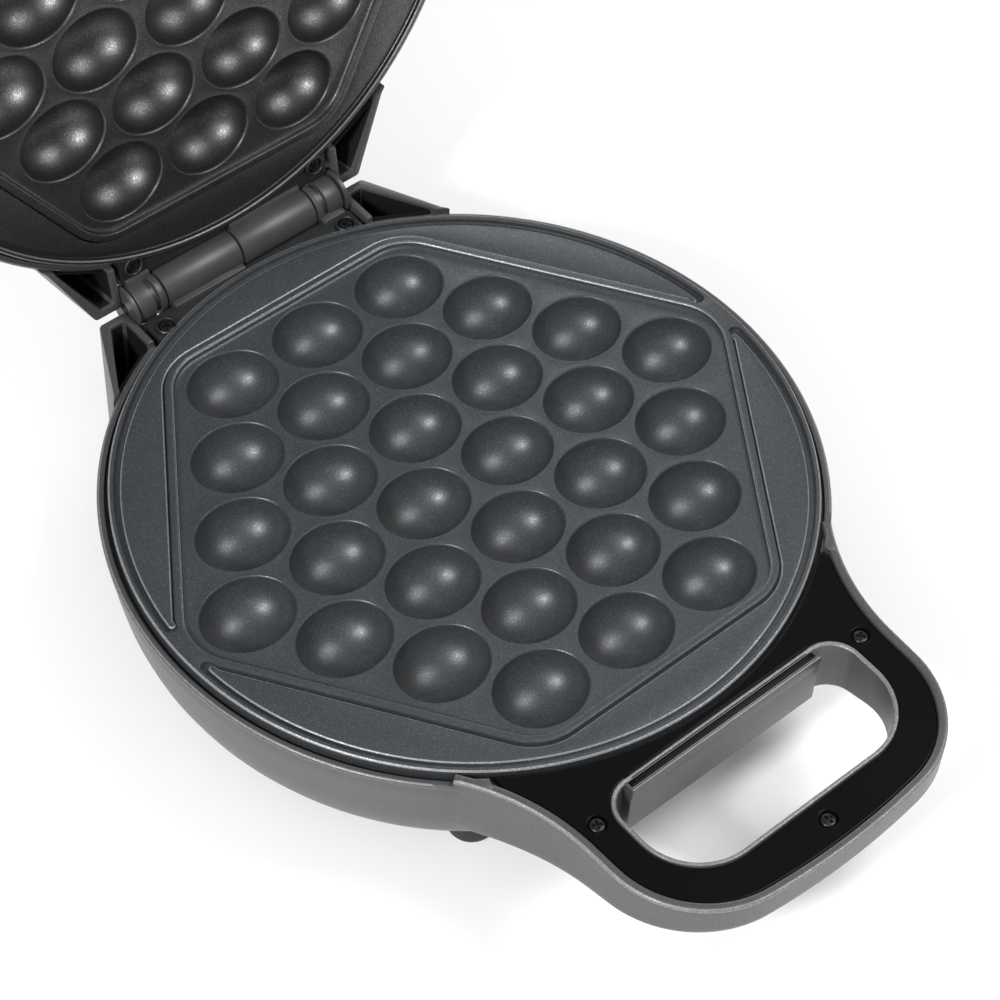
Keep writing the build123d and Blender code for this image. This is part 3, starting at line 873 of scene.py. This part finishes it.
handle = {
    "front": 152.0,
    "nose": (26.5, 150.4),
    "cornerRadius": 31.0,
    "cornerTurn": 81.0,
    "sideLength": 8.8,
    "root": (67.0, 75.3),
    "floor": -3.0,
    "blend": 34.0,       # length over which the handle's wall runs into the bowl
    "blendTop": -4.0,
    "trayReach": 99.2,
    "bellyReach": 93.0,
    "rootTab": (99.7, -0.17, (60.2, -83.0)),     # radius, top and corner
    "window": (40.9, 103.0, 135.9),      # half width, rear and front of the finger hole
    "windowCorners": (18.0, 8.0),
    "lining": 1.5,
    "grip": (33.5, 105.8, 1.0),          # half width, front and edge of the bar behind it
    "screws": [(-46.6, 107.4), (46.6, 107.4), (0.0, 142.9)],
    "under": ((153.0, 11.4), (117.0, 17.0), (80.0, 28.5)),    # distance and depth
    "underReach": (60.0, 156.0),
}


def handleOutline():
    noseX, noseY = handle["nose"]
    sag = handle["front"] - noseY
    radius = (noseX ** 2 + sag ** 2) / (2 * sag)
    half = math.degrees(math.asin(noseX / radius))
    front = arc(0, -handle["front"] + radius, radius, -90, -90 + half, 8)
    spot, heading = Vector(front[-1]), half
    r = handle["cornerRadius"]
    centre = spot + Vector((-math.sin(math.radians(heading)), math.cos(math.radians(heading)))) * r
    corner = arc(centre.x, centre.y, r, heading - 90, heading - 90 + handle["cornerTurn"], 20)[1:]
    heading += handle["cornerTurn"]
    ahead = Vector((math.cos(math.radians(heading)), math.sin(math.radians(heading))))
    start = Vector(corner[-1])
    bend = start + ahead * handle["sideLength"]
    side = along(tuple(start), tuple(bend), 3)[1:]
    root = Vector((handle["root"][0], -handle["root"][1]))
    chord = root - bend
    swing = ahead.angle_signed(chord)
    flankRadius = chord.length / (2 * math.sin(abs(swing)))
    middle = bend + Vector((ahead.y, -ahead.x)) * flankRadius
    turn = math.degrees(2 * abs(swing))
    first = math.degrees(math.atan2(bend.y - middle.y, bend.x - middle.x))
    flank = arc(middle.x, middle.y, flankRadius, first, first - turn, 16)
    right = front[:-1] + [tuple(spot)] + corner + side + flank
    left = [(-x, y) for x, y in reversed(right)]
    return left[:-1] + right


def circleThrough(a, b, c):
    aa, bb, cc = a.length_squared, b.length_squared, c.length_squared
    d = 2 * (a.x * (b.y - c.y) + b.x * (c.y - a.y) + c.x * (a.y - b.y))
    x = (aa * (b.y - c.y) + bb * (c.y - a.y) + cc * (a.y - b.y)) / d
    y = (aa * (c.x - b.x) + bb * (a.x - c.x) + cc * (b.x - a.x)) / d
    return x, y, math.dist((x, y), a)


# Height of the handle's underside: an arc in the side view, through three points

def underside(y):
    points = [Vector(p) for p in handle["under"]]
    middleX, middleY, r = circleThrough(*points)
    nearest, furthest = handle["underReach"]
    reach = min(max(-y, nearest), furthest)
    rise = math.sqrt(max(r * r - (reach - middleX) ** 2, 0))
    return math.copysign(rise, middleY - points[1].y) - middleY


def windowOutline(margin):
    w, rear, front = handle["window"]
    frontRadius, rearRadius = handle["windowCorners"]
    corners = [(w, -front), (w, -rear), (-w, -rear), (-w, -front)]
    radii = [frontRadius, rearRadius, rearRadius, frontRadius]
    return offsetOutline(dense(roundedOutline(corners, radii, 12), 3.0), margin)


def bowlRadius(z, depth):
    wall = bowlProfile(depth)[1]
    return float(np.interp(-z, [-p[1] for p in wall], [p[0] for p in wall]))


def makeHandle(m, depth):
    floor, lipOut = handle["floor"], shell["lip"][1]
    line = np.array(handleOutline())
    walked = np.concatenate([[0], np.cumsum(np.linalg.norm(np.diff(line, axis=0), axis=1))])
    fromRoot = np.minimum(walked, walked[-1] - walked)
    blend = np.clip(1 - fromRoot / handle["blend"], 0, 1) ** 1.4
    ahead = np.gradient(line, axis=0)
    ahead /= np.linalg.norm(ahead, axis=1, keepdims=True)
    outward = np.stack([ahead[:, 1], -ahead[:, 0]], 1)
    low = np.array([underside(y) for x, y in line])

    def level(reach, heights):
        above = handle["blendTop"]
        tuck = np.array([0 if z > above else lipOut - bowlRadius(z, depth) for z in heights]) * blend
        return m.ring([tuple(p) for p in line + outward * (reach - tuck)[:, None]], list(heights))

    rings = []
    for reach, z in ((-2.6, floor), (-2.6, -0.7), (-2.45, -0.35), (-2.2, -0.2), (-0.7, -0.2), (-0.3, -0.32),
                     (-0.08, -0.6), (0.0, -1.1)):
        rings.append(level(reach, np.full(len(line), z)))
    top = np.full(len(line), -1.1)
    for share in (0.12, 0.3, 0.5, 0.7, 0.88, 1.0):
        rings.append(level(0.0, top + (low + 2.6 - top) * share))
    for reach, rise in ((-0.2, 1.7), (-0.7, 0.8), (-1.5, 0.2), (-2.5, 0.0)):
        rings.append(level(reach, low + rise))
    for i in rings[-1]:
        x, y = m.points[i][:2]
        m.points[i] = (x, y, underside(y))
    for a, b in zip(rings, rings[1:]):
        m.strip(a, b, closed=False)
    opening = windowOutline(0)
    belly = [m.points[i][:2] for i in rings[-1]] + arc(0, 0, handle["bellyReach"], -52, -128, 24)
    grid = np.array([(x, y) for y in np.arange(-146, -92, 4.0) for x in np.arange(-64, 65, 8.0)])
    ok = insideOutline(grid, offsetOutline(belly, -2.5)) & ~insideOutline(grid, offsetOutline(opening, 2.5))
    m.fill(belly, [offsetOutline(opening, 1.6)], lambda x, y: underside(y), [tuple(p) for p in grid[ok]])
    wall = [m.ring(offsetOutline(opening, d), [underside(y) + r for x, y in opening])
            for d, r in ((1.6, 0.0), (0.8, 0.25), (0.2, 0.9), (0.0, 1.8))]
    beadProfile = ((0.0, -1.4), (0.05, -0.75), (0.3, -0.4), (0.7, -0.3), (1.1, -0.42), (1.35, -0.75),
                   (1.4, floor))
    bead = [m.ring(offsetOutline(opening, d), z) for d, z in beadProfile]
    for a, b in zip(wall + bead, (wall + bead)[1:]):
        m.strip(a, b)
    tray = [m.points[i][:2] for i in rings[0]] + arc(0, 0, handle["trayReach"], -50, -130, 40)
    m.fill(tray, [offsetOutline(opening, 1.4)], floor)
    makeRootTabs(m, line, floor)
    makeGripRail(m, floor)


# The bar behind the finger hole, which carries the ribbed ledge

def makeGripRail(m, floor):
    half, front, edge = handle["grip"]
    rear, top = handle["window"][1], -0.45
    m.block((-half, -front, underside(-rear) + 1.0), (half, -rear + 1.0, floor + 0.1), 0.4)
    m.block((-half, -front - 0.3, floor - 2.0), (half, -front + edge, top), 0.45)
    for side in (-1, 1):
        middle = side * (half - edge / 2)
        m.block((middle - edge / 2, -front + 0.1, floor - 0.5),
                (middle + edge / 2, -rear + 0.5, top), 0.45)


# Where the handle's rim meets the bowl's lip it widens to a short flat tab

def makeRootTabs(m, line, floor):
    reach, top, corner = handle["rootTab"]
    inner = arc(0, 0, reach, -53.6, -49.8, 4)
    outer = [tuple(p) for p in line[-2:-6:-1]]
    tab = (inner + [(p[0] - 0.6, p[1] + 0.3) for p in outer] + [corner])[::-1]
    for side in (1, -1):
        loop = mirrored(tab, side)
        m.edge(loop, [(0, floor), (0, top - 0.25), (-0.08, top - 0.08), (-0.25, top)])
        m.fill(offsetOutline(loop, -0.25), [], top)


def bowlProfile(depth):
    lipIn, lipOut = shell["lip"]
    z = shell["lipTop"]
    inside, seatTop, seatLow = shell["seat"]
    lip = [(inside, seatLow), (inside, seatTop), (lipIn, seatTop), (lipIn, z - 0.4), (lipIn + 0.15, z - 0.12),
           (lipIn + 0.45, z), (lipOut - 0.7, z), (lipOut - 0.3, z - 0.08), (lipOut - 0.05, z - 0.35),
           (lipOut, z - 0.7), (lipOut, z - 1.5), (lipOut - 0.1, z - 1.75), (lipOut - 0.55, z - 1.9)]
    wall = [(lipOut - 0.5, z - 2.3), (lipOut - 0.3, z - 4.0), (100.2, -10.0), (99.4, -16.0), (98.3, -22.5),
            (96.8, -28.0), (94.9, -32.6), (92.3, -depth + 6.0), (89.6, -depth + 3.2), (86.8, -depth + 1.3),
            (84.0, -depth + 0.3), (shell["bottom"], -depth)]
    return lip, wall


# The lip and the upper wall are cut away behind, between the cheeks of the hinge

def makeBowl(m, depth):
    lip, wall = bowlProfile(depth)
    notch = math.degrees(math.acos(shell["cheek"][0] / shell["notchRadius"]))
    angles = list(np.linspace(notch + 0.02, 180 - notch - 0.02, 32))
    angles += list(np.linspace(180 - notch, 360 + notch, 150))
    rings = []
    for a in angles:
        behind = notch < a % 360 < 180 - notch
        t = math.radians(a)
        row = []
        for r, z in lip + wall:
            row.append(len(m.points))
            m.points.append((r * math.cos(t), r * math.sin(t), min(z, shell["trough"]) if behind else z))
        rings.append(row)
    for a, b in zip(rings, rings[1:] + rings[:1]):
        m.strip(a, b, closed=False)
    return [m.points[row[-1]][:2] for row in rings]


vent = {"count": 3, "pitch": 14.0, "out": 22.0, "half": (13.0, 1.3), "corner": 1.25, "deep": 2.6}


def ventSlots():
    halfLength, halfWidth = vent["half"]
    slots = []
    for k in range(vent["count"]):
        y = (k - (vent["count"] - 1) / 2) * vent["pitch"]
        for side in (-1, 1):
            corners = boxCorners(side * vent["out"], y, halfLength, halfWidth)
            slots.append(roundedOutline(corners, vent["corner"], 4))
    return slots


def makeRearBlock(m, depth):
    (rootX, rootY), (endX, endY) = shell["wingRoot"], shell["wingEnd"]
    w, top = shell["wall"], shell["wingTop"]
    cheekIn, cheekOut = shell["cheek"]
    start = rootY + shell["cheekStart"]
    outer = [(rootX + 1.4, rootY - 1.9), (rootX, rootY), (endX, endY), (cheekIn, endY), (cheekIn, start)]
    inner = [(cheekOut, start), (cheekOut, endY - w), (endX - w * 0.8, endY - w), (rootX - w, rootY + 1.4),
             (rootX - w + 0.4, rootY + 0.2)]
    wing = roundedOutline(outer + inner, [0, 0.5, 1.6, 0.6, 0.3, 0.3, 1.2, 1.2, 0.3, 0], 4)
    for side in (-1, 1):
        loop = mirrored(wing, side)
        m.edge(loop, [(-0.5, top), (-0.15, top - 0.12), (0, top - 0.5), (0, -depth + 2.0)])
        m.fill(offsetOutline(loop, -0.5), [], top)
        m.fill(loop, [], -depth + 2.0)
    front = shell["blockFront"]
    corners = [(-rootX, front), (rootX, front), (rootX, rootY), (endX, endY), (-endX, endY), (-rootX, rootY)]
    lower = roundedOutline(corners, [0, 0, 1.5, 1.5, 1.5, 1.5], 4)
    floor, bottom = shell["pocketFloor"], -depth + 0.35    # just above the bowl's own bottom
    m.edge(lower, [(-0.1, floor), (-0.05, bottom + 1.0), (-0.4, bottom + 0.25), (-1.0, bottom)])
    m.fill(offsetOutline(lower, -0.1), [], floor)
    m.fill(offsetOutline(lower, -1.0), [], bottom)
    low = (-cheekIn, shell["innerFront"], -depth + 2)
    m.block(low, (cheekIn, shell["troughFront"], shell["shelf"]), 0.4)
    m.block(low, (cheekIn, endY - 0.05, shell["trough"]), 0.4)


# Painted shade: a near-black sheet lining the two pockets beside the hinge, where shade falls

def makePocketShade(half):
    m = Mould()
    rootX, (endX, endY) = shell["wingRoot"][0], shell["wingEnd"]
    w, out = shell["wall"], shell["cheek"][1]
    floor = shell["pocketFloor"] + 0.05
    cheekFront, wingFront = shell["pocketFront"]
    loop = dense([(out + 0.05, cheekFront), (rootX - w - 0.25, wingFront),
                  (endX - w * 0.8 - 0.05, endY - w - 0.05), (out + 0.05, endY - w - 0.05)], 3.0)
    for side in (1, -1):
        pocket = mirrored(loop, side)
        m.edge(pocket, [(0, -1.6), (0, floor)])
        m.fill(pocket, [], floor)
    return seat(m.object(half + "Pockets", finishes["pocket"], 30, outward=False), half, "housing")


# Painted highlights: lighter lines along the handle's rim, the bowl's lip and the finger hole's bead, where
# rounded edges catch the light
def makeHousingPaintedHighlights(half):
    lipOut, lipTop = shell["lip"][1], shell["lipTop"]
    lipHighlight = [(0.03, lipTop - 0.7), (-0.28, lipTop - 0.06), (-0.7, lipTop + 0.02)]
    strips = [(handleOutline(), [(0.03, -1.1), (-0.07, -0.58), (-0.3, -0.3), (-0.7, -0.18)], False)]
    strips += [(arc(0, 0, lipOut, start, start + 104, 80), lipHighlight, False) for start in (-46, 122)]
    strips.append((windowOutline(0), [(1.1, -0.4), (0.7, -0.28), (0.3, -0.38), (-0.02, -0.75)], True))
    makePaintedHighlights("HousingEdges", half, "housing", strips, finishes["housingHighlightPaint"])


def makeHousing(half):
    depth = shell[half]
    bowl = Mould()
    bottom = makeBowl(bowl, depth)
    slots = ventSlots() if half == "base" else []
    bowl.fill(bottom, slots, -depth)
    ventFloor = -depth + vent["deep"]
    for slotEdge in slots:
        bowl.edge(slotEdge, [(0, -depth), (0, ventFloor)])
        bowl.fill(slotEdge, [], ventFloor)
    bowlPiece = bowl.object(half + "Bowl", finishes["housing"], 40)
    grip = Mould()
    makeHandle(grip, depth)
    gripPiece = grip.object(half + "Handle", finishes["housing"], 40)
    makeHousingPaintedHighlights(half)
    rear = Mould()
    makeRearBlock(rear, depth)
    rearPiece = rear.object(half + "HingeBlock", finishes["housing"], 35)
    seat(bowlPiece, half, "housing", half + "_housing")
    seat(gripPiece, half, "housing")
    seat(rearPiece, half, "housing")
    makePocketShade(half)


for half in halves:
    makeHousing(half)
    print(half, "housing made")


# Handle trims

trim = {
    "inset": 2.95,
    "lipGap": 0.05,
    "top": -0.9,
    "low": -2.75,
    "cut": (57.8, -84.5),    # the trim stops short of the tab at the handle's root
    "well": 2.6,
    "wellDepth": 1.2,
}


def trimOutline():
    r = shell["lip"][0] + trim["lipGap"]
    cutX, cutY = trim["cut"]
    line = offsetOutline(handleOutline(), -trim["inset"])[1:-1]
    line = [p for p in line if math.hypot(*p) > r and not (abs(p[0]) > cutX and p[1] > cutY)]
    start = math.degrees(math.acos(cutX / r))
    return line + arc(0, 0, r, -start, -180 + start, 60)


def makeTrim(half):
    m = Mould()
    outline = trimOutline()
    opening = windowOutline(handle["lining"])
    wells = [circle(x, -y, trim["well"], 36) for x, y in handle["screws"]]
    top, low = trim["top"], trim["low"]
    m.fill(offsetOutline(outline, -0.35), [offsetOutline(hole, 0.3) for hole in [opening] + wells], top)
    m.edge(outline, [(-0.35, top), (-0.1, top - 0.08), (0, top - 0.35), (0, low)])
    rounding, wellFloor = [(0.3, top), (0.08, top - 0.08), (0, top - 0.3)], top - trim["wellDepth"]
    m.edge(opening, rounding + [(0, low)])
    for well in wells:
        m.edge(well, rounding + [(0, wellFloor)])
        m.fill(well, [], wellFloor)
    m.fill(outline, [opening], low)
    made = m.object(half + "Trim", finishes["trim"], 14)
    return seat(made, half, "handle_trim", half + "_handle_trim")


for half in halves:
    makeTrim(half)
print("trims made")


# Ribbed grip ledge behind the finger hole

ledge = {
    "half": 32.3,
    "rear": 100.6,
    "front": 104.6,
    "height": (-2.7, -0.8),
    "ribs": 3,
    "pitch": 1.25,
    "ribHalf": 0.3,
    "ribHeight": 0.5,
}


def makeLedge(half):
    m = Mould()
    w, thin = ledge["half"], ledge["ribHalf"]
    low, top = ledge["height"]
    m.block((-w, -ledge["front"], low), (w, -ledge["rear"], top), 0.35)
    base = m.object(half + "GripLedge", finishes["trim"], 40)
    seat(base, half, "handle_trim")
    rib = Mould()
    rib.block((-w + 1.2, -thin, 0), (w - 1.2, thin, ledge["ribHeight"]), 0.2)
    ribPiece = rib.object("rib", finishes["trim"])
    spots = [(0, -ledge["front"] + 0.8 + k * ledge["pitch"], top - 0.05) for k in range(ledge["ribs"])]
    ribs = spread(half + "GripRibs", spots, ribPiece, finishes["trim"])
    bpy.data.objects.remove(ribPiece)
    return seat(ribs, half, "handle_trim")


for half in halves:
    makeLedge(half)
print("grip ledges made")


# Screws with cross slots

screws = {
    "trim": {"radius": 2.15, "height": 0.95, "slot": (1.4, 0.34), "foot": -2.05},
    "hinge": {"radius": 2.3, "height": 1.2, "slot": (1.5, 0.36), "foot": -1.95},
}


def screwHead(kind):
    size = screws[kind]
    r, crown = size["radius"], size["height"]
    reach, half = size["slot"]
    m = Mould()
    cross = [(reach, -half), (reach, half), (half, half), (half, reach), (-half, reach), (-half, half),
             (-reach, half), (-reach, -half), (-half, -half), (-half, -reach), (half, -reach), (half, -half)]
    slotFloor = crown - 0.7 * crown
    m.fill(circle(0, 0, r - 0.7, 36), [cross], crown)
    m.edge(cross, [(0, crown), (-0.06, slotFloor)])
    m.fill(offsetOutline(cross, -0.06), [], slotFloor)
    rim = circle(0, 0, r, 36)
    m.edge(rim, [(-0.7, crown), (-0.35, crown - 0.1), (-0.08, crown - 0.35), (0, crown - 0.6), (0, 0)])
    m.fill(rim, [], 0)
    return m.object("screwHead", finishes["screw"], 35)


def makeScrews(half, kind, spots):
    head = screwHead(kind)
    places = [(x, y, screws[kind]["foot"]) for x, y in spots]
    made = spread(half + kind.capitalize() + "Screws", places, head, finishes["screw"], 1.5)
    bpy.data.objects.remove(head)
    seat(made, half, "screw", half + "_" + kind + "_screws")


for half in halves:
    makeScrews(half, "trim", [(x, -y) for x, y in handle["screws"]])
    hingeX, hingeY = plate["screwAt"]
    makeScrews(half, "hinge", [(-hingeX, hingeY), (hingeX, hingeY)])
print("screws made")


# Feet

footSize = {
    "radius": 7.5,
    "height": 8.5,
    "front": (49.3, -63.6),
    "rear": (33.0, 76.5),
}


def makeFoot(node, x, y):
    m = Mould()
    r, h, z = footSize["radius"], footSize["height"], -shell["base"]
    low = z - h
    profile = [(0.0, z), (r - 0.3, z), (r, z - 0.6), (r - 0.3, low + 1.8), (r - 0.7, low + 0.7),
               (r - 1.5, low), (2.2, low), (1.8, low + 0.4), (0.0, low + 0.5)]
    m.lathe(profile, 48, Matrix.Translation((x, y, 0)))
    return seat(m.object(node + "Rubber", finishes["foot"]), "base", "foot", node)


for end in ("front", "rear"):
    footX, footY = footSize[end]
    makeFoot(end + "_left_foot", -footX, footY)
    makeFoot(end + "_right_foot", footX, footY)
print("feet made")


# Carried-over nodes

nodeFinish = {
    "housing": "housing", "cooking_plate": "plate", "handle_trim": "trim", "screw": "screw",
    "element": "element", "shield": "shield", "thermostat": "thermostat", "fuse": "element",
    "terminal": "terminal", "gland": "gland", "pin": "pin", "foot": "foot", "red_lamp": "redLamp",
    "green_lamp": "greenLamp",
}
slotOf = {s["node"]: s["material_slot"] for s in frame["record"]["subparts"]}
for name, obj in frame["nodes"].items():
    if not obj.hide_render:
        obj.data.materials.clear()
        obj.data.materials.append(finishes[nodeFinish[slotOf[name]]])


# Floor, lights, camera

studio = {
    "floor": 0.9,
    "floorReach": 3000,
    "aim": Vector((0, 0, 0.06)),
    "world": 0.58,
    "mirrored": 0.25,        # what shiny surfaces see of the room, so that black plastic stays black
    "lamps": {
        "key": ((0.62, -0.44, 1.2), (0.6, 0.6), 12.0),
        "spot": ((-1.0, -0.3, 0.95), (0.22, 0.22), 17.0),
        "front": ((-1.0, -1.1, 1.0), (0.8, 0.8), 3.5),
        "back": ((0.7, 1.1, 0.8), (1.0, 0.6), 6.0),
    },
}


def makeFloor():
    m = Mould()
    reach = studio["floorReach"]
    m.faces.append(tuple(m.ring([(-reach, -reach), (reach, -reach), (reach, reach), (-reach, reach)], 0)))
    f = Finish("floorPaper")
    color = f.mix(f.noise(8, 3, 0.5), grey(studio["floor"] - 0.01), grey(studio["floor"]))
    paper = f.set(color=color, rough=0.9, specular=0.1)
    floor = m.object("floor", paper, outward=False)
    floor.data.transform(Matrix.Scale(0.001, 4))


def makeLamp(name, place, size, power):
    data = bpy.data.lights.new(name, "AREA")
    data.shape = "RECTANGLE"
    data.size, data.size_y = size
    data.energy = power
    obj = bpy.data.objects.new(name, data)
    obj.location = place
    obj.rotation_euler = (studio["aim"] - Vector(place)).to_track_quat("-Z", "Y").to_euler()
    bpy.context.scene.collection.objects.link(obj)


def makeWorld():
    world = bpy.data.worlds.new("studio")
    world.use_nodes = True
    nodes, links = world.node_tree.nodes, world.node_tree.links
    path = nodes.new("ShaderNodeLightPath")

    def glow(strength):
        made = nodes.new("ShaderNodeBackground")
        made.inputs["Strength"].default_value = strength
        return made.outputs[0]

    def choose(ray, usual, special):
        made = nodes.new("ShaderNodeMixShader")
        links.new(path.outputs[ray], made.inputs[0])
        links.new(usual, made.inputs[1])
        links.new(special, made.inputs[2])
        return made.outputs[0]

    seen = choose("Is Glossy Ray", glow(studio["world"]), glow(studio["mirrored"]))
    links.new(choose("Is Camera Ray", seen, glow(1.0)), nodes["World Output"].inputs[0])
    bpy.context.scene.world = world


makeFloor()
makeWorld()
for name, (place, size, power) in studio["lamps"].items():
    makeLamp(name, place, size, power)


def makeCamera():
    data = bpy.data.cameras.new("camera")
    data.lens, data.sensor_width = view["lens"], view["sensor"]
    data.clip_start, data.clip_end = 0.05, 20
    obj = bpy.data.objects.new("camera", data)
    home = hinge["at"] - Vector((0, hinge["reach"] / 1000, 0))
    obj.location = home + Vector(view["place"]) / 1000
    obj.rotation_euler = [math.radians(a) for a in view["turn"]]
    bpy.context.scene.collection.objects.link(obj)
    bpy.context.scene.camera = obj


makeCamera()
bpy.context.scene.view_settings.view_transform = "Standard"
bpy.context.view_layer.update()
